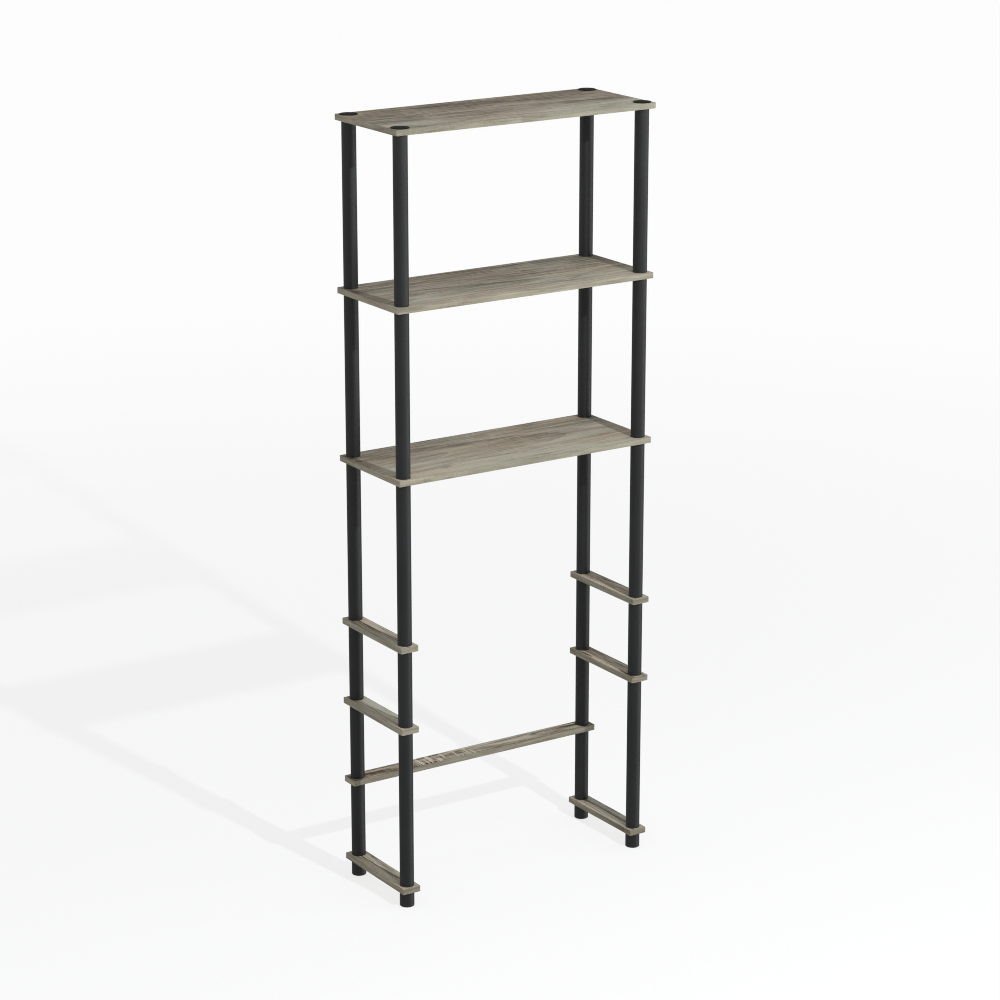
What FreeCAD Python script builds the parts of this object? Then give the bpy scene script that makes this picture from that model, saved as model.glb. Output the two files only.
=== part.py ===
"""Over the toilet storage rack.

Three full shelves and seven short rails, clamped between the tube sections of four legs.
Each tube section carries a threaded stud in its lower end and a threaded socket in its upper
end. A stud passes through the board below it and screws into the socket under that board.

Frame: origin on the floor at the middle of the footprint, +X to the right, +Y to the back, +Z up.
All sizes are in millimetres.
"""
import FreeCAD, Part
import os
from FreeCAD import Vector

# Boards
shelf_width = 625.0
shelf_depth = 240.0
board_t = 12.0
corner_r = 3.0
band_t = 1.0
band_round = 0.4

# Legs. Each leg stands this far in from both edges of the shelf.
leg_inset = 21.0
tube_od = 30.0
tube_wall = 1.5
tube_chamfer = 0.4
short_tube = 166.0

# Feet and caps
foot_h = 34.0
foot_skirt = 0.5
foot_round = 1.5
foot_chamfer = 0.5
cap_overhang = 4.0
cap_t = 2.4
cap_rim_t = 1.4

# Screw joints
shank_root_r = 7.8
thread_depth = 1.2
thread_pitch = 4.0
ridge_base = 2.4
ridge_crest = 1.2
thread_gap = 0.3
engage_len = 18.0
lead_in = 2.0
tip_chamfer = 1.0
plug_len = 24.0
core_bore_r = 5.0
hole_gap = 0.75
neck_gap = 0.5
foot_bore_spare = 2.0

# Worked out from the sizes above
rail_width = 2.0 * leg_inset
long_tube = 2.0 * short_tube + board_t
tube_r = tube_od / 2.0
tube_bore_r = tube_r - tube_wall
foot_r = tube_r + foot_skirt
cap_r = tube_r + cap_overhang
shank_crest_r = shank_root_r + thread_depth
board_hole_r = shank_crest_r + hole_gap
shank_len = board_t + engage_len
leg_x = shelf_width / 2.0 - leg_inset
leg_y = shelf_depth / 2.0 - leg_inset

UP = Vector(0, 0, 1)

# Height of each board's underside, from the floor up
bottom_z = foot_h
back_z = bottom_z + board_t + short_tube
lower_z = back_z + board_t + short_tube
upper_z = lower_z + board_t + short_tube
shelf_1_z = upper_z + board_t + long_tube
shelf_2_z = shelf_1_z + board_t + long_tube
shelf_3_z = shelf_2_z + board_t + long_tube

# The boards that cut each leg, bottom to top
FRONT_LEVELS = [bottom_z, lower_z, upper_z, shelf_1_z, shelf_2_z, shelf_3_z]
BACK_LEVELS = [bottom_z, back_z, lower_z, upper_z, shelf_1_z, shelf_2_z, shelf_3_z]

LEGS = {
    "front_left": (-leg_x, -leg_y, FRONT_LEVELS),
    "front_right": (leg_x, -leg_y, FRONT_LEVELS),
    "back_left": (-leg_x, leg_y, BACK_LEVELS),
    "back_right": (leg_x, leg_y, BACK_LEVELS),
}


def save(node, *solids):
    """Write one node: a single solid, or a group of separate like solids."""
    shape = solids[0] if len(solids) == 1 else Part.makeCompound(list(solids))
    shape.exportStep("parts/" + node + ".step")


def moved(shape, x, y, z):
    copy = shape.copy()
    copy.translate(Vector(x, y, z))
    return copy


def revolved(points):
    """A full turn about Z of a straight-sided outline in the XZ plane."""
    outline = Part.makePolygon([Vector(r, 0, z) for r, z in points + points[:1]])
    return Part.Face(outline).revolve(Vector(0, 0, 0), UP, 360)


def rounded_plate(size_x, size_y, radius, thickness):
    """A flat plate about the Z axis with its four upright corners rounded."""
    plate = Part.makeBox(size_x, size_y, thickness, Vector(-size_x / 2.0, -size_y / 2.0, 0))
    corners = [e for e in plate.Edges if abs(e.tangentAt(e.FirstParameter).z) > 0.5]
    return plate.makeFillet(radius, corners)


def board_core(size_x, size_y, holes):
    """The panel inside the edge band, drilled where the legs pass."""
    core = rounded_plate(size_x - 2.0 * band_t, size_y - 2.0 * band_t, corner_r - band_t, board_t)
    for x, y in holes:
        core = core.cut(Part.makeCylinder(board_hole_r, board_t, Vector(x, y, 0)))
    return core


def edge_band(size_x, size_y):
    """The strip glued round the panel, with its outer top and bottom edges eased."""
    outer = rounded_plate(size_x, size_y, corner_r, board_t)
    rims = [e for f in outer.Faces if abs(f.normalAt(0, 0).z) > 0.5 for e in f.Edges]
    outer = outer.makeFillet(band_round, rims)
    inside = rounded_plate(size_x - 2.0 * band_t, size_y - 2.0 * band_t, corner_r - band_t, board_t)
    return outer.cut(inside)


def tube(length):
    """One tube section standing on Z = 0, with its outer end edges chamfered."""
    return revolved([
        (tube_bore_r, 0),
        (tube_r - tube_chamfer, 0),
        (tube_r, tube_chamfer),
        (tube_r, length - tube_chamfer),
        (tube_r - tube_chamfer, length),
        (tube_bore_r, length),
    ])


def threaded_outline(top_z, depth, gap):
    """Outside of a threaded rod, from its mouth at top_z down by depth, grown all round by gap.

    The thread is drawn as plain rings, one to each pitch.
    """
    root = shank_root_r + gap
    crest = shank_crest_r + gap
    half_base = ridge_base / 2.0 + gap
    half_crest = ridge_crest / 2.0 + gap
    points = [(root, top_z)]
    for ring in range(int((engage_len - lead_in) / thread_pitch)):
        z = top_z - lead_in / 2.0 - thread_pitch * (ring + 0.5)
        points += [(root, z + half_base), (crest, z + half_crest)]
        points += [(crest, z - half_crest), (root, z - half_base)]
    return points + [(root, top_z - depth)]


def shank_outline():
    """From a board's top face at Z = 0, down the plain neck in its hole, to the tip of the thread."""
    neck_end = neck_gap - board_t
    thread = threaded_outline(-board_t, engage_len - tip_chamfer, 0)
    tip = [(shank_root_r - tip_chamfer, -shank_len), (core_bore_r, -shank_len)]
    return [(shank_crest_r, 0), (shank_crest_r, neck_end), (shank_root_r, neck_end)] + thread + tip


def socket_hole(depth):
    """What is cut from a socket: the bore and the thread's groove, mouth at Z = 0."""
    return revolved(threaded_outline(0, depth, thread_gap) + [(0, -depth), (0, 0)])


def stud():
    """Pressed into the lower end of a tube: a hollow plug with the threaded shank under it."""
    plug = [(core_bore_r, plug_len), (tube_bore_r, plug_len), (tube_bore_r, 0)]
    return revolved(plug + shank_outline())


def socket():
    """Pressed into the upper end of a tube, flush with it: mouth at Z = 0."""
    plug = Part.makeCylinder(tube_bore_r, plug_len, Vector(0, 0, -plug_len))
    return plug.cut(socket_hole(plug_len))


def cap():
    """A low domed disc on the top shelf, with its own hollow threaded shank."""
    half_way = Vector(cap_r / 2.0, 0, cap_t - (cap_t - cap_rim_t) / 4.0)
    rim_top = Vector(cap_r, 0, cap_rim_t)
    dome = Part.Arc(Vector(0, 0, cap_t), half_way, rim_top).toShape()
    under = [(cap_r, cap_rim_t), (cap_r, 0)] + shank_outline() + [(core_bore_r, 0), (0, 0), (0, cap_t)]
    rest = Part.makePolygon([Vector(r, 0, z) for r, z in under])
    whole = Part.Face(Part.Wire([dome] + rest.Edges)).revolve(Vector(0, 0, 0), UP, 360)
    rim = [e for e in whole.Edges if e.BoundBox.ZMin > cap_rim_t / 2.0 and e.BoundBox.XLength > cap_r]
    return whole.makeFillet(cap_rim_t / 2.0, rim)


def foot():
    """A short plain foot: top at Z = 0, threaded from above, rounded where it meets the floor."""
    body = Part.makeCylinder(foot_r, foot_h, Vector(0, 0, -foot_h))
    ring = sorted((e for e in body.Edges if e.BoundBox.ZLength < 0.01), key=lambda e: e.BoundBox.ZMin)
    body = body.makeFillet(foot_round, ring[:1])
    ring = sorted((e for e in body.Edges if e.BoundBox.ZLength < 0.01), key=lambda e: e.BoundBox.ZMin)
    body = body.makeChamfer(foot_chamfer, ring[-1:])
    return body.cut(socket_hole(engage_len + foot_bore_spare))


def build_board(node, size_x, size_y, centre_x, centre_y, z, holes):
    core = board_core(size_x, size_y, holes)
    save(node, moved(core, centre_x, centre_y, z))
    save(node + "_edge_band", moved(edge_band(size_x, size_y), centre_x, centre_y, z))


def build_boards():
    four_legs = [(sx * leg_x, sy * leg_y) for sx in (-1, 1) for sy in (-1, 1)]
    for node, z in (("lower_shelf", shelf_1_z), ("middle_shelf", shelf_2_z), ("top_shelf", shelf_3_z)):
        build_board(node, shelf_width, shelf_depth, 0, 0, z, four_legs)
    two_legs = [(0, -leg_y), (0, leg_y)]
    for side, x in (("left", -leg_x), ("right", leg_x)):
        for place, z in (("bottom", bottom_z), ("lower", lower_z), ("upper", upper_z)):
            build_board(side + "_" + place + "_rail", rail_width, shelf_depth, x, 0, z, two_legs)
    build_board("back_rail", shelf_width, rail_width, 0, leg_y, back_z, [(-leg_x, 0), (leg_x, 0)])


def build_legs():
    one_stud = stud()
    one_socket = socket()
    one_cap = cap()
    one_foot = foot()
    for leg, (x, y, levels) in LEGS.items():
        studs = []
        sockets = []
        for number, (below, above) in enumerate(zip(levels, levels[1:]), 1):
            foot_of_tube = below + board_t
            save("%s_tube_%d" % (leg, number), moved(tube(above - foot_of_tube), x, y, foot_of_tube))
            studs.append(moved(one_stud, x, y, foot_of_tube))
            sockets.append(moved(one_socket, x, y, above))
        save(leg + "_studs", *studs)
        save(leg + "_sockets", *sockets)
        save(leg + "_cap", moved(one_cap, x, y, levels[-1] + board_t))
        save(leg + "_foot", moved(one_foot, x, y, foot_h))


os.makedirs("parts", exist_ok=True)
build_boards()
build_legs()
print("tube sections: short %.1f, long %.1f" % (short_tube, long_tube))
print("overall height: %.1f" % (shelf_3_z + board_t + cap_t))
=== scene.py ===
"""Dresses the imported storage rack: oak-print boards, black plastic tubes, caps and feet.

Everything is in metres, in the frame's own place. Sizes named _mm are in millimetres.
"""
import math

import bmesh
import bpy
from mathutils import Euler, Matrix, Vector


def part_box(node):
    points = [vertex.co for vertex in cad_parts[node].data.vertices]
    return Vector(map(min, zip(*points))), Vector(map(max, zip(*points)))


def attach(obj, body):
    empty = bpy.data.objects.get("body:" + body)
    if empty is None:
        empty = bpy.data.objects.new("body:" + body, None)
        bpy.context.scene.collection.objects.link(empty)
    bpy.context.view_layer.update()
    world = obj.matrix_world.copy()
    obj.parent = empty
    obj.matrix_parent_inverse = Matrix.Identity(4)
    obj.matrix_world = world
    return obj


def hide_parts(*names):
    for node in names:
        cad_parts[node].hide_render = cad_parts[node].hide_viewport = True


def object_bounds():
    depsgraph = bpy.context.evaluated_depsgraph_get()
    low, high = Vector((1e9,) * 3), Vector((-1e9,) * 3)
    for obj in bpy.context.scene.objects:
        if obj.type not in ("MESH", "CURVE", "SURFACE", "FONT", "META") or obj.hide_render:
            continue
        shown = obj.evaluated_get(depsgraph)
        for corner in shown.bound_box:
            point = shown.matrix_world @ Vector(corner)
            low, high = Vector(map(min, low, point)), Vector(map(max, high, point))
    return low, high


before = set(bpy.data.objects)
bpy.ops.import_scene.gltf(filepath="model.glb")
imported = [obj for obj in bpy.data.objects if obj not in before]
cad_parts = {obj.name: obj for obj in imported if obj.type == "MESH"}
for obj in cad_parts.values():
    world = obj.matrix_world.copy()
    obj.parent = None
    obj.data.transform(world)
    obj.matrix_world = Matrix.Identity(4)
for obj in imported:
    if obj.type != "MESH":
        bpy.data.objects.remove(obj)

CAD_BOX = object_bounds()

bl_info = {
    "name": "Over the toilet storage rack",
    "version": (1, 0, 0),
    "blender": (4, 5, 0),
    "location": "3D View > Sidebar > Rack",
    "description": "Builds the looks of a storage rack of oak-print boards and black tubes",
    "category": "Object",
}

MM = 0.001
BODY = "root"

SHELVES = ("top_shelf", "middle_shelf", "lower_shelf")
SIDE_RAILS = tuple(
    "%s_%s_rail" % (side, place) for side in ("left", "right") for place in ("upper", "lower", "bottom")
)
BACK_RAIL = ("back_rail",)
BOARDS = SHELVES + SIDE_RAILS + BACK_RAIL
LEGS = ("front_left", "front_right", "back_left", "back_right")
TUBES = tuple(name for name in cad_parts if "_tube_" in name)


# Corners sharper than this show as edges
SHARP_FROM = math.radians(50)

# Growth rings of the print, and the wave node's scale that draws one ring to each unit
RING_MM = 12
ONE_RING = 0.31416

# How strong the grain is on an edge band, where 1 is a full face
BAND_FIGURE = 0.28

# What the printed sheet shows on each board, and the painted light on the side rails' faces. All lengths
# are in millimetres, along the grain and across it. On a side rail, along is to the back and across is to
# the left.
#   place: where the board's middle lies on the sheet, along, across and above the heart of the tree
#   face, edge: how much lighter the board's faces and its band are than the middle tone. On the side
#   rails the face value also holds painted light, which lifts their faces against the shade of the
#   shelves above them
#   halves: place across, width of the change, how much lighter and warmer the board is beyond it. On the
#   shelves the front comes out lighter than the back
#   figure: how strong the grain is
#   sawn: from and to along the board, and strength, of pale marks left by a saw
#   lines: dark lines from one point to another, half their width, and their strength
PRINT_AND_PAINTED_LIGHT = {
    "top_shelf": {
        "place": (0, 30, 14), "face": 0.05, "edge": 0.01, "halves": (-35, 100, -0.255, 0.08),
        "figure": 0.65, "sawn": (-215, -145, 0.16),
        "lines": ((-215, -2, -50, -8, 3, 0.5), (80, 2, 190, -8, 3, 0.5), (170, -6, 290, -24, 4.5, 0.55))},
    "middle_shelf": {
        "place": (2140, 10, 40), "face": 0.1, "edge": 0.0, "halves": (-15, 130, -0.26, 0.04),
        "figure": 0.6, "sawn": (60, 160, 0.16), "lines": ()},
    "lower_shelf": {
        "place": (4270, -60, 25), "face": 0.17, "edge": 0.03, "halves": (-15, 130, -0.28, 0.04),
        "figure": 0.55, "sawn": (-40, 90, 0.2), "lines": ((250, 70, 305, 52, 3, 0.5),)},
    "left_upper_rail": {
        "place": (50774, -2, 34), "face": 0.37, "edge": 0.01, "halves": (1, 3, -0.15, -0.05),
        "figure": 1.0, "sawn": (0, 0, 0.0), "lines": ((-78, -1, 90, 1.5, 1.5, 0.9),)},
    "left_lower_rail": {
        "place": (62383, -19, 42), "face": 0.46, "edge": 0.0, "halves": (0, 14, -0.2, 0.12),
        "figure": 1.0, "sawn": (0, 0, 0.0), "lines": ()},
    "left_bottom_rail": {
        "place": (42831, -3, 26), "face": 0.18, "edge": -0.09, "halves": (-1, 4, -0.12, -0.05),
        "figure": 1.0, "sawn": (0, 0, 0.0),
        "lines": ((-80, -4, 0, -1, 1.5, 0.75), (0, -1, 90, 1, 1.5, 0.9))},
    "right_upper_rail": {
        "place": (56273, -29, 34), "face": 0.22, "edge": -0.03, "halves": (1, 8, 0.06, 0.12),
        "figure": 1.0, "sawn": (0, 0, 0.0),
        "lines": ((20, 1, 90, 1.5, 1.6, 0.8), (-60, -2, 20, 1, 2.2, 0.35))},
    "right_lower_rail": {
        "place": (46497, -21, 26), "face": 0.06, "edge": -0.05, "halves": (2, 14, 0.0, 0.14),
        "figure": 1.0, "sawn": (0, 0, 0.0), "lines": ((46, 14, 80, 12.5, 1.8, 1.0),)},
    "right_bottom_rail": {
        "place": (47108, 16, 26), "face": 0.22, "edge": -0.08, "halves": (0, 8, 0.06, 0.12),
        "figure": 1.0, "sawn": (0, 0, 0.0),
        "lines": ((-75, 0, 90, -1.5, 1.6, 0.85), (-40, -3, 60, -4, 3.0, 0.35))},
    "back_rail": {
        "place": (19340, 15, 30), "face": -0.04, "edge": -0.02, "halves": (0, 20, -0.04, 0.04),
        "figure": 1.0, "sawn": (-165, 8, 1.0),
        "lines": ((-40, 8, 150, 12, 1.6, 0.5), (240, 9, 290, 4, 1.8, 0.8))},
}


def linear(hex_colour):
    """An sRGB colour such as "#8a8071" as a linear colour with alpha."""
    channels = [int(hex_colour[i:i + 2], 16) / 255.0 for i in (1, 3, 5)]
    return tuple(c / 12.92 if c <= 0.04045 else ((c + 0.055) / 1.055) ** 2.4 for c in channels) + (1.0,)


# ---------------------------------------------------------------- what a user may change


class RackSizes(bpy.types.PropertyGroup):
    corner_radius: bpy.props.FloatProperty(
        name="Board corner", description="Radius of a board's upright corners", default=3.0 * MM,
        unit="LENGTH")
    band_round: bpy.props.FloatProperty(
        name="Band rounding", description="Rounding of the edge band's outer rims", default=0.4 * MM,
        unit="LENGTH")
    panel_chamfer: bpy.props.FloatProperty(
        name="Panel chamfer", description="Break of the panel's rim beside the band", default=0.25 * MM,
        unit="LENGTH")
    hole_radius: bpy.props.FloatProperty(
        name="Leg hole", description="Radius of the hole for a leg's stud", default=9.75 * MM,
        unit="LENGTH")
    tube_wall: bpy.props.FloatProperty(
        name="Tube wall", description="Wall of the extruded tubes", default=1.5 * MM, unit="LENGTH")
    tube_round: bpy.props.FloatProperty(
        name="Tube end", description="Rounding of a tube's cut ends", default=0.4 * MM, unit="LENGTH")


class RackColours(bpy.types.PropertyGroup):
    oak_pale: bpy.props.FloatVectorProperty(
        name="Pale grain", description="Palest streaks of the oak print", subtype="COLOR", size=4,
        min=0.0, max=1.0, default=linear("#a8a294"))
    oak_light: bpy.props.FloatVectorProperty(
        name="Light grain", description="Light tone of the oak print", subtype="COLOR", size=4,
        min=0.0, max=1.0, default=linear("#928b7d"))
    oak_mid: bpy.props.FloatVectorProperty(
        name="Middle grain", description="Main tone of the oak print", subtype="COLOR", size=4,
        min=0.0, max=1.0, default=linear("#7f786b"))
    oak_dark: bpy.props.FloatVectorProperty(
        name="Dark grain", description="Dark streaks of the oak print", subtype="COLOR", size=4,
        min=0.0, max=1.0, default=linear("#645b4f"))
    oak_crack: bpy.props.FloatVectorProperty(
        name="Dark line", description="Thin dark lines of the oak print", subtype="COLOR", size=4,
        min=0.0, max=1.0, default=linear("#372f26"))
    oak_sawn: bpy.props.FloatVectorProperty(
        name="Saw marks", description="Pale marks across the oak print", subtype="COLOR", size=4,
        min=0.0, max=1.0, default=linear("#bab29e"))
    tube_black: bpy.props.FloatVectorProperty(
        name="Tube", description="Black of the tubes", subtype="COLOR", size=4,
        min=0.0, max=1.0, default=linear("#151617"))
    cap_black: bpy.props.FloatVectorProperty(
        name="Caps", description="Black of the moulded caps", subtype="COLOR", size=4,
        min=0.0, max=1.0, default=linear("#12100e"))
    fitting_black: bpy.props.FloatVectorProperty(
        name="Feet", description="Black of the moulded feet and of the hidden joints", subtype="COLOR",
        size=4, min=0.0, max=1.0, default=linear("#151516"))


class RackStage(bpy.types.PropertyGroup):
    camera_place: bpy.props.FloatVectorProperty(
        name="Camera", description="Where the camera stands", subtype="TRANSLATION", size=3,
        default=(-3.381, -5.170, 2.643))
    camera_yaw: bpy.props.FloatProperty(
        name="Yaw", description="How far the camera looks to the right of straight on", subtype="ANGLE",
        default=math.radians(33.24))
    camera_pitch: bpy.props.FloatProperty(
        name="Pitch", description="How far the camera looks down", subtype="ANGLE",
        default=math.radians(16.46))
    camera_lens: bpy.props.FloatProperty(
        name="Lens", description="Focal length on a 36 mm wide sensor, in millimetres", default=110.0)
    key_place: bpy.props.FloatVectorProperty(
        name="Key place", description="Where the small bright lamp hangs, high in front",
        subtype="TRANSLATION", size=3, default=(0.10, -3.39, 3.15))
    key_power: bpy.props.FloatProperty(
        name="Key power", description="Power of the key lamp in watts", default=512.0)
    side_place: bpy.props.FloatVectorProperty(
        name="Side place", description="Where the tall soft light stands, at the right",
        subtype="TRANSLATION", size=3, default=(3.3, -1.7, 1.2))
    side_power: bpy.props.FloatProperty(
        name="Side power", description="Power of the tall soft light at the right", default=12.0)
    room_light: bpy.props.FloatProperty(
        name="Room", description="How bright the ceiling of the pale room is, straight up", default=0.46)
    paper_glow: bpy.props.FloatProperty(
        name="Paper glow", description="Light that the floor paper gives off near the rack", default=0.75)
    paper_far_glow: bpy.props.FloatProperty(
        name="Far paper glow", description="Light that the floor paper gives off away from the rack",
        default=0.85)


# ---------------------------------------------------------------- mesh helpers


def finish_piece(name, bm, material, node):
    """Turns a mesh in the making into a piece that stands for a CAD node."""
    bmesh.ops.recalc_face_normals(bm, faces=bm.faces)
    mesh = bpy.data.meshes.new(name)
    bm.to_mesh(mesh)
    bm.free()
    mesh.shade_smooth()
    mesh.set_sharp_from_angle(angle=SHARP_FROM)
    mesh.materials.append(material)
    piece = bpy.data.objects.new(name, mesh)
    bpy.context.scene.collection.objects.link(piece)
    even = piece.modifiers.new("even_shading", "WEIGHTED_NORMAL")
    even.keep_sharp = True
    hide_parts(node)
    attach(piece, BODY)
    return piece


def join_rings(bm, rings, closed):
    """Quads between neighbouring rings of the same number of points."""
    pairs = list(zip(rings, rings[1:]))
    if closed:
        pairs.append((rings[-1], rings[0]))
    for low, high in pairs:
        for i in range(len(low)):
            j = (i + 1) % len(low)
            bm.faces.new((low[i], low[j], high[j], high[i]))


def quarter_turn(start_angle, steps):
    """Unit points along a quarter circle from start_angle, anticlockwise."""
    angles = [start_angle + math.pi / 2 * i / steps for i in range(steps + 1)]
    return [(math.cos(a), math.sin(a)) for a in angles]


def rounded_rectangle(centre, size_x, size_y, radius, steps=6):
    """Points round a rectangle with round corners, anticlockwise from the right front corner."""
    points = []
    for number, (sx, sy) in enumerate(((1, -1), (1, 1), (-1, 1), (-1, -1))):
        corner_x = centre[0] + sx * (size_x / 2 - radius)
        corner_y = centre[1] + sy * (size_y / 2 - radius)
        for cos, sin in quarter_turn(math.pi / 2 * (number - 1), steps):
            points.append((corner_x + radius * cos, corner_y + radius * sin))
    return points


def circle(centre, radius, steps=48):
    angles = [2 * math.pi * i / steps for i in range(steps)]
    return [(centre[0] + radius * math.cos(a), centre[1] + radius * math.sin(a)) for a in angles]


def rolled_edge(low, high, rounding, steps=3):
    """(inset, height) from the bottom rim to the top rim of a wall with both rims rounded."""
    lower = [(rounding * (1 - c), low + rounding * (1 + s)) for c, s in quarter_turn(-math.pi / 2, steps)]
    upper = [(rounding * (1 - c), high - rounding * (1 - s)) for c, s in quarter_turn(0, steps)]
    return lower + upper


def lathe(bm, centre, outline, steps):
    """A closed ring of revolution about an upright axis from (radius, height) points."""
    rings = [[bm.verts.new((x, y, height)) for x, y in circle(centre, radius, steps)]
             for radius, height in outline]
    join_rings(bm, rings, closed=True)


# ---------------------------------------------------------------- material helpers


def new_material(name):
    material = bpy.data.materials.new(name)
    material.use_nodes = True
    material.node_tree.nodes.clear()
    return material, material.node_tree


def add(tree, kind, inputs=None, stops=None, **settings):
    """Adds a node. An input given as (node, output) is linked, and any other is set."""
    node = tree.nodes.new(kind)
    for name, value in settings.items():
        setattr(node, name, value)
    for name, value in (inputs or {}).items():
        if isinstance(value, tuple) and isinstance(value[0], bpy.types.Node):
            tree.links.new(value[0].outputs[value[1]], node.inputs[name])
        else:
            node.inputs[name].default_value = value
    if stops:
        ramp = node.color_ramp
        while len(ramp.elements) < len(stops):
            ramp.elements.new(0.5)
        for element, (position, colour) in zip(ramp.elements, stops):
            element.position = position
            element.color = colour
    return node


def grey(value):
    return (value, value, value, 1.0)


def own_lines(tree, colour, colours, lines, own, sideways_shift, pores):
    """A board's own dark lines, each with a faint waver and ragged along the pores."""
    flat = add(tree, "ShaderNodeVectorMath", {0: (own, 0), 1: (1.0, 1.0, 0.0)}, operation="MULTIPLY")
    drawn_at = add(tree, "ShaderNodeVectorMath", {
        0: (sideways_shift, 0), 1: (0.0, 0.25, 0.0), 2: (flat, 0)}, operation="MULTIPLY_ADD")
    ragged = add(tree, "ShaderNodeMath", {0: (pores, 0), 1: 0.5}, operation="SUBTRACT")
    for x0, y0, x1, y1, half_width, strength in lines:
        start, run = Vector((x0, y0, 0)), Vector((x1 - x0, y1 - y0, 0))
        from_start = add(tree, "ShaderNodeVectorMath", {0: (drawn_at, 0), 1: start}, operation="SUBTRACT")
        gone = add(tree, "ShaderNodeVectorMath", {0: (from_start, 0), 1: run / run.length_squared},
                   operation="DOT_PRODUCT")
        kept = add(tree, "ShaderNodeClamp", {"Value": (gone, "Value"), "Min": 0.0, "Max": 1.0})
        nearest = add(tree, "ShaderNodeVectorMath", {0: run, "Scale": (kept, 0)}, operation="SCALE")
        distance = add(tree, "ShaderNodeVectorMath", {0: (from_start, 0), 1: (nearest, 0)},
                       operation="DISTANCE")
        edge = add(tree, "ShaderNodeMath", {0: (ragged, 0), 1: half_width * 4, 2: (distance, "Value")},
                   operation="MULTIPLY_ADD")
        dark = add(tree, "ShaderNodeMapRange", {
            "Value": (edge, 0), "From Min": half_width * 0.4, "From Max": half_width * 1.6,
            "To Min": strength, "To Max": 0.0})
        lined = add(tree, "ShaderNodeMix", {0: (dark, 0), 6: colour, 7: colours.oak_crack},
                    data_type="RGBA")
        colour = (lined, 2)
    return colour


def pale_marks(tree, colour, colours, mark, own_parts, start, stop, strength):
    """The marks of a noise, in the colour of sawn wood, from start to stop along the board."""
    marked = add(tree, "ShaderNodeMapRange", {
        "Value": (mark, 0), "From Min": 0.54, "From Max": 0.62, "To Min": 0.0, "To Max": strength})
    middle, half_length = (start + stop) / 2, (stop - start) / 2
    along = add(tree, "ShaderNodeMath", {0: (own_parts, "X"), 1: middle}, operation="SUBTRACT")
    from_middle = add(tree, "ShaderNodeMath", {0: (along, 0)}, operation="ABSOLUTE")
    there = add(tree, "ShaderNodeMapRange", {
        "Value": (from_middle, 0), "From Min": half_length - 12, "From Max": half_length + 8,
        "To Min": 1.0, "To Max": 0.0})
    pale_mark = add(tree, "ShaderNodeMath", {0: (marked, 0), 1: (there, 0)}, operation="MULTIPLY")
    sawn_over = add(tree, "ShaderNodeMix", {0: (pale_mark, 0), 6: colour, 7: colours.oak_sawn},
                    data_type="RGBA")
    return (sawn_over, 2)


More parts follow.
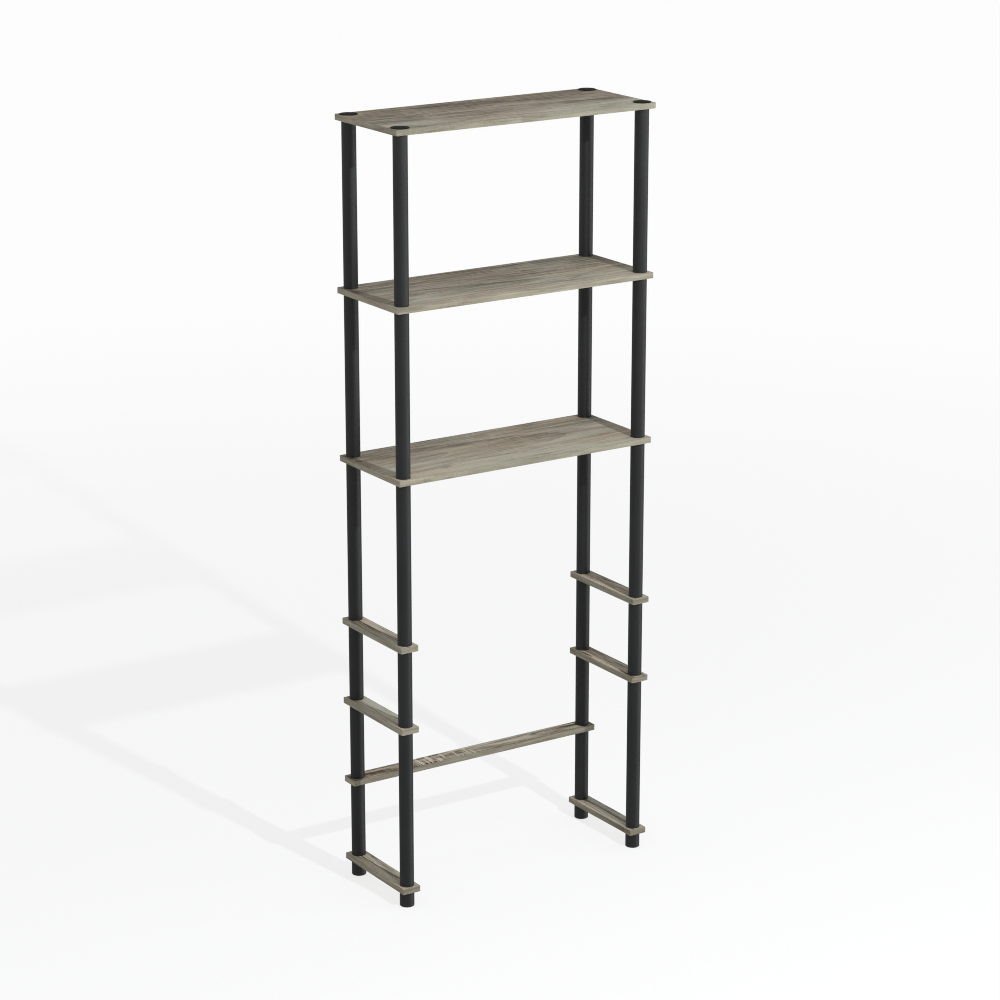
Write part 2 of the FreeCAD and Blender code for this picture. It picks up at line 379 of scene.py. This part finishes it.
def oak_print(name, board, colours, strip):
    """Melamine sheet printed as weathered oak and pressed with fine pores.

    To the eye: wavering grey-brown streaks, arched growth rings, a few dark lines and pale marks
    that a saw left across the grain, under a soft satin sheen that breaks up along the grain. On a
    strip the grain follows the board's edge, and the figure is plainer.
    """
    material, tree = new_material(name)
    sheet = PRINT_AND_PAINTED_LIGHT[board]
    figure = BAND_FIGURE if strip else sheet["figure"]
    place = add(tree, "ShaderNodeTexCoord")
    at = (place, "Object")
    if strip:
        # The strip turns with the edge: its grain runs along Y where the edge faces left or right
        swap = add(tree, "ShaderNodeMapping", {"Vector": at, "Rotation": (0, 0, math.radians(-90))})
        facing = add(tree, "ShaderNodeSeparateXYZ", {"Vector": (place, "Normal")})
        sideways = add(tree, "ShaderNodeMath", {0: (facing, "X")}, operation="ABSOLUTE")
        turned = add(tree, "ShaderNodeMath", {0: (sideways, 0), 1: 0.7}, operation="GREATER_THAN")
        at = (add(tree, "ShaderNodeMix", {0: (turned, 0), 4: at, 5: (swap, 0)}, data_type="VECTOR"), 1)
    turn = Euler((0, 0, math.radians(-90) if board in SIDE_RAILS and not strip else 0))
    low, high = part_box(board)
    middle = ((low + high) / 2 / MM)
    middle.rotate(turn)
    # Millimetres from the board's own middle, along the grain and across it
    own = add(tree, "ShaderNodeMapping", {
        "Vector": at, "Scale": (1 / MM, 1 / MM, 1 / MM), "Rotation": turn, "Location": -middle})
    straight = add(tree, "ShaderNodeVectorMath", {0: (own, 0), 1: sheet["place"]}, operation="ADD")
    # All the grain wavers together, by up to 9 mm in about 260 mm
    waver_at = add(tree, "ShaderNodeMapping", {
        "Vector": (straight, 0), "Scale": (1 / 260, 1 / 70, 1 / 70)})
    waver = add(tree, "ShaderNodeTexNoise", {"Vector": (waver_at, 0), "Scale": 1.0, "Detail": 1.5})
    shift = add(tree, "ShaderNodeMapRange", {
        "Value": (waver, 0), "From Min": 0.2, "From Max": 0.8, "To Min": -9.0, "To Max": 9.0})
    sideways_shift = add(tree, "ShaderNodeCombineXYZ", {"Y": (shift, 0)})
    grain = add(tree, "ShaderNodeVectorMath", {0: (straight, 0), 1: (sideways_shift, 0)}, operation="ADD")

    def patches(length, width, detail, start):
        """Noise in patches of length along the grain and width across it, in millimetres."""
        spot = add(tree, "ShaderNodeMapping", {
            "Vector": (grain, 0), "Scale": (1 / length, 1 / width, 1 / width), "Location": start})
        return add(tree, "ShaderNodeTexNoise", {
            "Vector": (spot, 0), "Scale": 1.0, "Detail": detail, "Roughness": 0.62})

    broad = patches(380, 42, 1.0, (0, 0, 0))
    streak = patches(170, 9, 2.0, (5.1, 2.3, 8.8))
    # Real pores are about 0.3 mm wide: they are drawn 3 mm wide, or they would not show
    pores = patches(55, 3, 2.0, (1.7, 9.2, 4.4))
    # Fine marks across the grain from the saw, strong in some patches and gone in others
    saw = patches(3.2, 14, 1.0, (0.6, 3.7, 2.9))
    sawn = patches(110, 34, 1.0, (8.5, 0.2, 1.1))
    saw_depth = add(tree, "ShaderNodeMapRange", {
        "Value": (sawn, 0), "From Min": 0.42, "From Max": 0.62, "To Min": 0.0, "To Max": 0.75 * figure})
    saw_off = add(tree, "ShaderNodeMath", {0: (saw, 0), 1: 0.5}, operation="SUBTRACT")
    saw_marks = add(tree, "ShaderNodeMath", {0: (saw_off, 0), 1: (saw_depth, 0)}, operation="MULTIPLY")

    # Growth rings round a leaning heart, which the sheet cuts into long arches
    lean = add(tree, "ShaderNodeMapping", {
        "Vector": (grain, 0), "Rotation": (0, math.radians(2.4), math.radians(0.7))})
    drawn_out = add(tree, "ShaderNodeMapping", {"Vector": (lean, 0), "Scale": (1 / 30, 1, 1)})
    rings = add(tree, "ShaderNodeTexWave", {
        "Vector": (drawn_out, 0), "Scale": ONE_RING / RING_MM, "Distortion": 5.0, "Detail": 2.0,
        "Detail Scale": 0.07, "Detail Roughness": 0.6},
        wave_type="RINGS", rings_direction="X", wave_profile="SAW")

    # The board is lighter or darker, and warmer or cooler, on one side of a line along it
    across, change, lighter, warmer = sheet["halves"]
    own_parts = add(tree, "ShaderNodeSeparateXYZ", {"Vector": (own, 0)})
    beyond = add(tree, "ShaderNodeMapRange", {
        "Value": (own_parts, "Y"), "From Min": across - change / 2, "From Max": across + change / 2,
        "To Min": -0.5, "To Max": 0.5})

    # On the side rails the face tone also holds painted light, lifting them against the shade of the
    # shelves above
    tone = 0.5 + (sheet["edge"] if strip else sheet["face"])
    weights = ((broad, 0, 1.0), (streak, 0, 1.2), (pores, 0, 1.3), (rings, "Fac", -0.28))
    for pattern, output, weight in weights:
        off_middle = add(tree, "ShaderNodeMath", {0: (pattern, output), 1: 0.5}, operation="SUBTRACT")
        total = add(tree, "ShaderNodeMath", {0: (off_middle, 0), 1: weight * figure, 2: tone},
                    operation="MULTIPLY_ADD")
        tone = (total, 0)
    tone = (add(tree, "ShaderNodeMath", {0: (saw_marks, 0), 1: tone}, operation="ADD"), 0)
    if not strip:
        halved = add(tree, "ShaderNodeMath", {0: (beyond, 0), 1: lighter, 2: tone},
                     operation="MULTIPLY_ADD")
        tone = (halved, 0)
    printed = add(tree, "ShaderNodeValToRGB", {"Fac": tone}, stops=[
        (0.12, colours.oak_crack), (0.33, colours.oak_dark), (0.5, colours.oak_mid),
        (0.66, colours.oak_light), (0.86, colours.oak_pale)])

    # Slow drift of the whole print between warm and cool
    drift = patches(300, 60, 1.0, (3.3, 6.1, 0.4))
    if strip:
        # The band comes from another roll, a little cooler and more even
        warmth = add(tree, "ShaderNodeMath", {0: (drift, 0), 1: 0.4, 2: 0.42}, operation="MULTIPLY_ADD")
    else:
        warmth = add(tree, "ShaderNodeMath", {0: (beyond, 0), 1: -warmer, 2: (drift, 0)},
                     operation="MULTIPLY_ADD")
    tint = add(tree, "ShaderNodeValToRGB", {"Fac": (warmth, 0)}, stops=[
        (0.36, (1.06, 0.99, 0.93, 1.0)), (0.64, (0.96, 1.01, 0.99, 1.0))])
    tinted = add(tree, "ShaderNodeMix", {0: 1.0, 6: (printed, 0), 7: (tint, 0)},
                 data_type="RGBA", blend_type="MULTIPLY")
    colour = (tinted, 2)

    if not strip:
        # Thin dark lines that run along the grain and come and go
        wander = patches(330, 24, 0.5, (7.4, 1.9, 5.2))
        off_line = add(tree, "ShaderNodeMath", {0: (wander, 0), 1: 0.5}, operation="SUBTRACT")
        far = add(tree, "ShaderNodeMath", {0: (off_line, 0)}, operation="ABSOLUTE")
        near = add(tree, "ShaderNodeMapRange", {
            "Value": (far, 0), "From Min": 0.01, "From Max": 0.035, "To Min": 0.7 * figure,
            "To Max": 0.0})
        patch = patches(110, 30, 1.0, (2.2, 4.8, 6.6))
        here = add(tree, "ShaderNodeMapRange", {
            "Value": (patch, 0), "From Min": 0.52, "From Max": 0.6, "To Min": 0.0, "To Max": 1.0})
        dark_line = add(tree, "ShaderNodeMath", {0: (near, 0), 1: (here, 0)}, operation="MULTIPLY")
        lined = add(tree, "ShaderNodeMix", {0: (dark_line, 0), 6: colour, 7: colours.oak_crack},
                    data_type="RGBA")
        colour = (lined, 2)

        colour = own_lines(tree, colour, colours, sheet["lines"], own, sideways_shift, pores)
        start, stop, strength = sheet["sawn"]
        if strength:
            # Pale marks right across a stretch of the board, as a coarse saw leaves
            mark = patches(5, 60, 0.5, (4.2, 1.3, 7.7))
            colour = pale_marks(tree, colour, colours, mark, own_parts, start, stop, strength)

    sheen = add(tree, "ShaderNodeMapRange", {
        "Value": (pores, 0), "From Min": 0.3, "From Max": 0.7, "To Min": 0.7, "To Max": 0.58})
    press = add(tree, "ShaderNodeBump", {"Height": (pores, 0), "Strength": 0.3, "Distance": 0.1 * MM})
    surface = add(tree, "ShaderNodeBsdfPrincipled", {
        "Base Color": colour, "Roughness": (sheen, 0), "Normal": (press, 0), "Specular IOR Level": 0.1})
    add(tree, "ShaderNodeOutputMaterial", {"Surface": (surface, 0)})
    return material


def black_plastic(name, colour, roughness, gloss, grain_mm, stretch, relief_mm):
    """Black plastic, satin from the die or mould that shaped it.

    To the eye: an even charcoal with a soft highlight and a trace of texture, which stretch draws
    out along the height.
    """
    material, tree = new_material(name)
    place = add(tree, "ShaderNodeTexCoord")
    across = 1 / (grain_mm * MM)
    at = add(tree, "ShaderNodeMapping", {
        "Vector": (place, "Object"), "Scale": (across, across, across / stretch)})
    texture = add(tree, "ShaderNodeTexNoise", {
        "Vector": (at, 0), "Scale": 1.0, "Detail": 3.0, "Roughness": 0.55})
    cloud = add(tree, "ShaderNodeTexNoise", {"Vector": (place, "Object"), "Scale": 14.0, "Detail": 2.0})
    dust = add(tree, "ShaderNodeMapRange", {
        "Value": (cloud, 0), "From Min": 0.3, "From Max": 0.7, "To Min": 0.85, "To Max": 1.15})
    base = add(tree, "ShaderNodeMix", {0: 1.0, 6: colour, 7: (dust, 0)},
               data_type="RGBA", blend_type="MULTIPLY", clamp_result=False)
    sheen = add(tree, "ShaderNodeMapRange", {
        "Value": (texture, 0), "From Min": 0.3, "From Max": 0.7,
        "To Min": roughness - 0.05, "To Max": roughness + 0.05})
    relief = add(tree, "ShaderNodeBump", {
        "Height": (texture, 0), "Strength": 0.4, "Distance": relief_mm * MM})
    surface = add(tree, "ShaderNodeBsdfPrincipled", {
        "Base Color": (base, 2), "Roughness": (sheen, 0), "Normal": (relief, 0),
        "Specular IOR Level": gloss})
    add(tree, "ShaderNodeOutputMaterial", {"Surface": (surface, 0)})
    return material


def studio_paper(glow, far_glow):
    """White seamless paper lit from below: matt, with the faintest tooth, and soft thin shadows.

    It is lit a little more strongly away from the rack.
    """
    material, tree = new_material("studio_white_paper")
    place = add(tree, "ShaderNodeTexCoord")
    tooth = add(tree, "ShaderNodeTexNoise", {"Vector": (place, "Object"), "Scale": 180.0, "Detail": 2.0})
    tone = add(tree, "ShaderNodeMapRange", {
        "Value": (tooth, 0), "From Min": 0.3, "From Max": 0.7, "To Min": 0.19, "To Max": 0.21})
    away = add(tree, "ShaderNodeVectorMath", {0: (place, "Object")}, operation="LENGTH")
    lit = add(tree, "ShaderNodeMapRange", {
        "Value": (away, "Value"), "From Min": 0.8, "From Max": 6.5, "To Min": glow, "To Max": far_glow},
        interpolation_type="SMOOTHSTEP")
    surface = add(tree, "ShaderNodeBsdfPrincipled", {
        "Base Color": (tone, 0), "Roughness": 0.95, "Specular IOR Level": 0.0,
        "Emission Color": grey(1.0), "Emission Strength": (lit, 0)})
    add(tree, "ShaderNodeOutputMaterial", {"Surface": (surface, 0)})
    return material


# ---------------------------------------------------------------- pieces


def leg_centres():
    centres = {}
    for leg in LEGS:
        low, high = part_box(leg + "_foot")
        centres[leg] = ((low + high) / 2).xy
    return centres


def build_panel(board, sizes, material):
    """The panel: laminate faces, drilled for the legs, its rims just broken beside the band."""
    low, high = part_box(board)
    centre = ((low + high) / 2).xy
    size = high - low
    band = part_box(board + "_edge_band")[1].x - high.x
    corner = sizes.corner_radius - band
    holes = [c for c in leg_centres().values() if low.x < c.x < high.x and low.y < c.y < high.y]
    bm = bmesh.new()
    rims = {"bottom": [], "top": []}
    edge = rolled_edge(low.z, high.z, sizes.panel_chamfer, steps=1)
    walls = [[rounded_rectangle(centre, size.x - 2 * d, size.y - 2 * d, corner) for d, _ in edge]]
    walls += [[circle(hole, sizes.hole_radius + d) for d, _ in edge] for hole in holes]
    for wall in walls:
        rings = [[bm.verts.new((x, y, z)) for x, y in loop] for loop, (_, z) in zip(wall, edge)]
        join_rings(bm, rings, closed=False)
        rims["bottom"].append(rings[0])
        rims["top"].append(rings[-1])
    for rim in rims.values():
        edges = [bm.edges.get((ring[i - 1], ring[i])) for ring in rim for i in range(len(ring))]
        bmesh.ops.triangle_fill(bm, edges=edges, use_beauty=True)
    return finish_piece(board + "_panel", bm, material, board)


def build_band(board, sizes, material):
    """The strip round the panel, with rounded outer rims and crisp inner ones."""
    node = board + "_edge_band"
    low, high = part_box(node)
    centre = ((low + high) / 2).xy
    size = high - low
    band = high.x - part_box(board)[1].x
    outside = rolled_edge(low.z, high.z, sizes.band_round)
    inner_break = sizes.panel_chamfer / 2
    inside = [(band - inner_break, high.z), (band, high.z - inner_break),
              (band, low.z + inner_break), (band - inner_break, low.z)]
    bm = bmesh.new()
    rings = []
    for inset, z in outside + inside:
        loop = rounded_rectangle(
            centre, size.x - 2 * inset, size.y - 2 * inset, sizes.corner_radius - inset)
        rings.append([bm.verts.new((x, y, z)) for x, y in loop])
    join_rings(bm, rings, closed=True)
    return finish_piece(board + "_band", bm, material, node)


def build_tube(node, sizes, material):
    """One length of extruded tube, hollow, with its cut ends just rounded."""
    low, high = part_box(node)
    centre = ((low + high) / 2).xy
    radius = (high.x - low.x) / 2
    outline = [(radius - inset, z) for inset, z in rolled_edge(low.z, high.z, sizes.tube_round)]
    bore = radius - sizes.tube_wall
    outline += [(bore, high.z), (bore, low.z)]
    bm = bmesh.new()
    lathe(bm, centre, outline, steps=96)
    return finish_piece(node + "_extrusion", bm, material, node)


# ---------------------------------------------------------------- operators


class RACK_OT_boards(bpy.types.Operator):
    """Build every board: its drilled panel and the band round it"""
    bl_idname = "rack.boards"
    bl_label = "Boards"

    def execute(self, context):
        sizes = context.scene.rack_sizes
        colours = context.scene.rack_colours
        for board in BOARDS:
            face = oak_print("melamine_oak_print_" + board, board, colours, strip=False)
            edge = oak_print("melamine_oak_band_" + board, board, colours, strip=True)
            build_panel(board, sizes, face)
            build_band(board, sizes, edge)
        return {"FINISHED"}


class RACK_OT_tubes(bpy.types.Operator):
    """Build the extruded tube sections of the legs"""
    bl_idname = "rack.tubes"
    bl_label = "Tubes"

    def execute(self, context):
        # PVC drawn through a die: faint lines along the tube and a soft highlight down one side
        material = black_plastic("extruded_black_pvc", context.scene.rack_colours.tube_black,
                                 roughness=0.5, gloss=0.4, grain_mm=1.2, stretch=60.0, relief_mm=0.03)
        for node in TUBES:
            build_tube(node, context.scene.rack_sizes, material)
        return {"FINISHED"}


class RACK_OT_fittings(bpy.types.Operator):
    """Give the caps and feet their moulded finish"""
    bl_idname = "rack.fittings"
    bl_label = "Caps and feet"

    def execute(self, context):
        colours = context.scene.rack_colours
        # ABS from a textured mould: the caps are nearly matt, the feet a little glossier
        finishes = {
            "_cap": black_plastic("textured_black_abs", colours.cap_black, roughness=0.75, gloss=0.09,
                                  grain_mm=0.9, stretch=1.0, relief_mm=0.06),
            "_foot": black_plastic("moulded_black_abs", colours.fitting_black, roughness=0.5, gloss=0.4,
                                   grain_mm=0.9, stretch=1.0, relief_mm=0.04),
        }
        for leg in LEGS:
            for kind, material in finishes.items():
                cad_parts[leg + kind].data.materials[0] = material
        return {"FINISHED"}


class RACK_OT_connectors(bpy.types.Operator):
    """Give the hidden studs and sockets their moulded finish"""
    bl_idname = "rack.connectors"
    bl_label = "Studs and sockets"

    def execute(self, context):
        # Nylon from a smooth mould: an even satin
        material = black_plastic("moulded_black_nylon", context.scene.rack_colours.fitting_black,
                                 roughness=0.5, gloss=0.4, grain_mm=0.6, stretch=1.0, relief_mm=0.03)
        for leg in LEGS:
            for kind in ("_studs", "_sockets"):
                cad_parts[leg + kind].data.materials[0] = material
        return {"FINISHED"}


class RACK_OT_stage(bpy.types.Operator):
    """Set up the paper floor, the soft lights and the camera"""
    bl_idname = "rack.stage"
    bl_label = "Stage"

    def execute(self, context):
        scene = context.scene
        stage = scene.rack_stage
        self.lay_paper(scene, stage)
        self.light_room(scene, stage.room_light)
        key = bpy.data.lights.new("key_lamp", "POINT")
        key.shadow_soft_size = 0.05
        key.color = (0.97, 0.99, 1.03)
        self.hang_light(scene, key, stage.key_place, stage.key_power)
        side = bpy.data.lights.new("side_softbox", "AREA")
        side.shape = "RECTANGLE"
        side.size, side.size_y = 0.8, 2.6
        self.hang_light(scene, side, stage.side_place, stage.side_power)
        self.place_camera(scene, stage)
        # The paper and the plastics keep the tones that they are given
        scene.view_settings.view_transform = "Standard"
        # A narrow filter keeps the fine grain crisp
        scene.cycles.filter_width = 1.1
        return {"FINISHED"}

    def lay_paper(self, scene, stage):
        bm = bmesh.new()
        bmesh.ops.create_grid(bm, x_segments=8, y_segments=8, size=40.0)
        mesh = bpy.data.meshes.new("paper_floor")
        bm.to_mesh(mesh)
        bm.free()
        mesh.materials.append(studio_paper(stage.paper_glow, stage.paper_far_glow))
        floor = bpy.data.objects.new("paper_floor", mesh)
        floor.location.z = CAD_BOX[0].z
        # Black plastic mirrors the dim end of the studio instead of the lit paper
        floor.visible_glossy = False
        scene.collection.objects.link(floor)

    def light_room(self, scene, overhead):
        """Pale walls that fade upwards into a dimmer ceiling."""
        world = bpy.data.worlds.new("pale_room")
        world.use_nodes = True
        tree = world.node_tree
        tree.nodes.clear()
        place = add(tree, "ShaderNodeTexCoord")
        up = add(tree, "ShaderNodeSeparateXYZ", {"Vector": (place, "Generated")})
        walls = add(tree, "ShaderNodeValToRGB", {"Fac": (up, "Z")}, stops=[
            (0.0, grey(0.97)), (0.2, grey(0.86)), (1.0, grey(overhead))])
        # The black plastic mirrors what lies below the floor's edge: dim, with a bright strip at
        # the right
        towards = add(tree, "ShaderNodeVectorMath", {0: (place, "Generated"), 1: (0.766, -0.643, 0.0)},
                      operation="DOT_PRODUCT")
        strip = add(tree, "ShaderNodeMapRange", {
            "Value": (towards, "Value"), "From Min": 0.82, "From Max": 0.95,
            "To Min": 0.35, "To Max": 2.6})
        below = add(tree, "ShaderNodeMapRange", {
            "Value": (up, "Z"), "From Min": -0.16, "From Max": -0.08, "To Min": 1.0, "To Max": 0.0})
        tone = add(tree, "ShaderNodeMix", {0: (below, 0), 6: (walls, 0), 7: (strip, 0)}, data_type="RGBA")
        light = add(tree, "ShaderNodeBackground", {"Color": (tone, 2), "Strength": 1.0})
        add(tree, "ShaderNodeOutputWorld", {"Surface": (light, 0)})
        scene.world = world

    def hang_light(self, scene, light, place, power):
        """Hangs a light at a place, turned to the middle of the rack."""
        light.energy = power
        lamp = bpy.data.objects.new(light.name, light)
        lamp.location = place
        aim = (CAD_BOX[0] + CAD_BOX[1]) / 2
        lamp.rotation_euler = (aim - Vector(place)).to_track_quat("-Z", "Y").to_euler()
        scene.collection.objects.link(lamp)

    def place_camera(self, scene, stage):
        camera = bpy.data.cameras.new("front_left_view")
        camera.sensor_width = 36.0
        camera.lens = stage.camera_lens
        camera.clip_end = 100.0
        eye = bpy.data.objects.new("front_left_view", camera)
        eye.location = stage.camera_place
        eye.rotation_euler = Euler((math.radians(90) - stage.camera_pitch, 0, -stage.camera_yaw))
        scene.collection.objects.link(eye)
        scene.camera = eye


class RACK_PT_panel(bpy.types.Panel):
    bl_idname = "RACK_PT_panel"
    bl_label = "Storage rack"
    bl_space_type = "VIEW_3D"
    bl_region_type = "UI"
    bl_category = "Rack"

    def draw(self, context):
        for operator in OPERATORS:
            self.layout.operator(operator.bl_idname)
        for group in ("rack_sizes", "rack_colours", "rack_stage"):
            settings = getattr(context.scene, group)
            box = self.layout.box()
            for name in settings.__annotations__:
                box.prop(settings, name)


GROUPS = {"rack_sizes": RackSizes, "rack_colours": RackColours, "rack_stage": RackStage}
OPERATORS = (RACK_OT_boards, RACK_OT_tubes, RACK_OT_fittings, RACK_OT_connectors, RACK_OT_stage)


def register():
    for kind in tuple(GROUPS.values()) + OPERATORS + (RACK_PT_panel,):
        bpy.utils.register_class(kind)
    for name, group in GROUPS.items():
        setattr(bpy.types.Scene, name, bpy.props.PointerProperty(type=group))


def unregister():
    for name in GROUPS:
        delattr(bpy.types.Scene, name)
    for kind in reversed(tuple(GROUPS.values()) + OPERATORS + (RACK_PT_panel,)):
        bpy.utils.unregister_class(kind)


def main():
    register()
    bpy.ops.rack.boards()
    bpy.ops.rack.tubes()
    bpy.ops.rack.fittings()
    bpy.ops.rack.connectors()
    bpy.ops.rack.stage()


if __name__ == "__main__":
    main()
